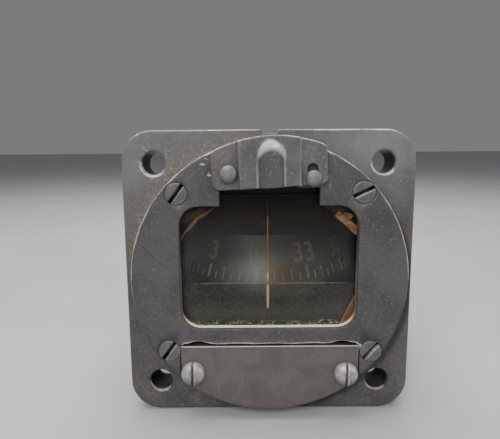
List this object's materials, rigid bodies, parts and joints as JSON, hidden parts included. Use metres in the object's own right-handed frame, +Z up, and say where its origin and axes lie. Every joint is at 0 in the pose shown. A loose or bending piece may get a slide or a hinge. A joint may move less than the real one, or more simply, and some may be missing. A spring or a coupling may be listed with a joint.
{
  "type": "aircraft compass",
  "caption": "Panel-mounted magnetic aircraft compass with a square flange, round bezel, window, lamp cover, liquid-damped card and compensator.",
  "frame": {"origin": "centre of the flange's front face, which is the middle of the four mounting holes", "axes": "+X to the right as seen from the front, +Y to the back, +Z up; the window faces -Y"},
  "size_m": [0.0604, 0.0652, 0.0608],
  "materials": {
    "case_paint": "matte charcoal paint, worn bright at the edges",
    "bezel_paint": "matte charcoal paint, worn bright at the edges",
    "cover_paint": "matte charcoal paint with rubbed edges",
    "plate_metal": "brownish satin, finely scratched",
    "dark_steel": "blackened steel",
    "stud_steel": "matte grey",
    "zinc_steel": "zinc plated, dulled",
    "clear_glass": "clear, dusty",
    "amber_gasket": "aged, glossy orange-brown",
    "black_rubber": "matte",
    "lubber_paint": "aged luminous paint",
    "card_black": "matte black",
    "float_brass": "dull",
    "gear_brass": "satin",
    "magnet_steel": "ground",
    "cast_zinc": "as cast",
    "spring_steel": "bright",
    "jewel": "polished",
    "socket_plastic": "moulded black"
  },
  "bodies": {
    "case": {"case_body": "case_paint", "front_bezel": "bezel_paint", "bezel_screws": "dark_steel", "window_glass": "clear_glass", "glass_gasket": "amber_gasket", "lubber_line": "lubber_paint", "pivot_stud": "stud_steel", "catch_stud": "stud_steel", "lamp_bulb": "clear_glass", "lamp_base": "gear_brass", "lamp_socket": "socket_plastic", "lamp_contact": "gear_brass", "lead_grommet": "black_rubber", "compensator_plate": "plate_metal", "plate_screws": "zinc_steel", "compensator_frame": "cast_zinc", "gear_axles": "spring_steel", "pivot_bracket": "cast_zinc", "bracket_screws": "gear_brass", "jewel_post": "gear_brass", "jewel_spring": "spring_steel", "diaphragm_gasket": "black_rubber", "expansion_diaphragm": "float_brass", "rear_cover": "case_paint", "rear_cover_screws": "dark_steel", "filler_plug": "zinc_steel", "filler_seal": "amber_gasket", "data_plate": "zinc_steel", "data_plate_pins": "zinc_steel"},
    "lamp_cover": {"lamp_cover": "cover_paint"},
    "jewel_cup": {"jewel_cup": "jewel"},
    "pivot_pin": {"pivot_pin": "spring_steel"},
    "pivot_hub": {"pivot_hub": "gear_brass"},
    "card": {"compass_card": "card_black", "float_shell": "float_brass", "float_base": "float_brass", "magnet_yoke": "cast_zinc", "card_magnets": "magnet_steel"},
    "ns_adjuster": {"ns_adjuster": "gear_brass"},
    "ew_adjuster": {"ew_adjuster": "gear_brass"},
    "ns_upper_gear": {"ns_upper_gear": "gear_brass", "ns_upper_magnets": "magnet_steel"},
    "ns_lower_gear": {"ns_lower_gear": "gear_brass", "ns_lower_magnets": "magnet_steel"},
    "ew_upper_gear": {"ew_upper_gear": "gear_brass", "ew_upper_magnets": "magnet_steel"},
    "ew_lower_gear": {"ew_lower_gear": "gear_brass", "ew_lower_magnets": "magnet_steel"}
  },
  "joints": [
    {"name": "lamp_cover_swing", "type": "hinge", "parent": "case", "child": "lamp_cover", "pos_m": [-0.008, -0.0044, 0.0213], "axis": [0, -1, 0], "range_deg": [-3.2, 85]},
    {"name": "jewel_travel", "type": "slide", "parent": "case", "child": "jewel_cup", "axis": [0, 0, 1], "range_m": [-0.0006, 0], "stiffness_N_per_m": 100, "springref_m": 0.003, "deforming": ["jewel_spring"]},
    {"name": "card_dip", "type": "hinge", "parent": "jewel_cup", "child": "pivot_pin", "pos_m": [0, 0.025, 0.0035], "axis": [1, 0, 0], "range_deg": [-10, 10]},
    {"name": "card_lean", "type": "hinge", "parent": "pivot_pin", "child": "pivot_hub", "pos_m": [0, 0.025, 0.0035], "axis": [0, 1, 0], "range_deg": [-10, 10]},
    {"name": "card_turn", "type": "hinge", "parent": "pivot_hub", "child": "card", "pos_m": [0, 0.025, 0.0035], "axis": [0, 0, 1], "continuous": true},
    {"name": "ns_adjust", "type": "hinge", "parent": "case", "child": "ns_adjuster", "pos_m": [-0.0063, 0, -0.0194], "axis": [0, 1, 0], "continuous": true},
    {"name": "ns_upper_turn", "type": "hinge", "parent": "case", "child": "ns_upper_gear", "pos_m": [-0.0063, 0.0072, -0.0159], "axis": [0, 0, 1], "continuous": true},
    {"name": "ns_lower_turn", "type": "hinge", "parent": "case", "child": "ns_lower_gear", "pos_m": [-0.0063, 0.0072, -0.0229], "axis": [0, 0, 1], "continuous": true},
    {"name": "ew_adjust", "type": "hinge", "parent": "case", "child": "ew_adjuster", "pos_m": [0.0063, 0, -0.0194], "axis": [0, 1, 0], "continuous": true},
    {"name": "ew_upper_turn", "type": "hinge", "parent": "case", "child": "ew_upper_gear", "pos_m": [0.0063, 0.0072, -0.0159], "axis": [0, 0, 1], "continuous": true},
    {"name": "ew_lower_turn", "type": "hinge", "parent": "case", "child": "ew_lower_gear", "pos_m": [0.0063, 0.0072, -0.0229], "axis": [0, 0, 1], "continuous": true}
  ],
  "couplings": [
    {"joint": "ns_upper_turn", "follows": "ns_adjust", "ratio": 0.4},
    {"joint": "ns_lower_turn", "follows": "ns_adjust", "ratio": -0.4},
    {"joint": "ew_upper_turn", "follows": "ew_adjust", "ratio": 0.4},
    {"joint": "ew_lower_turn", "follows": "ew_adjust", "ratio": -0.4}
  ]
}
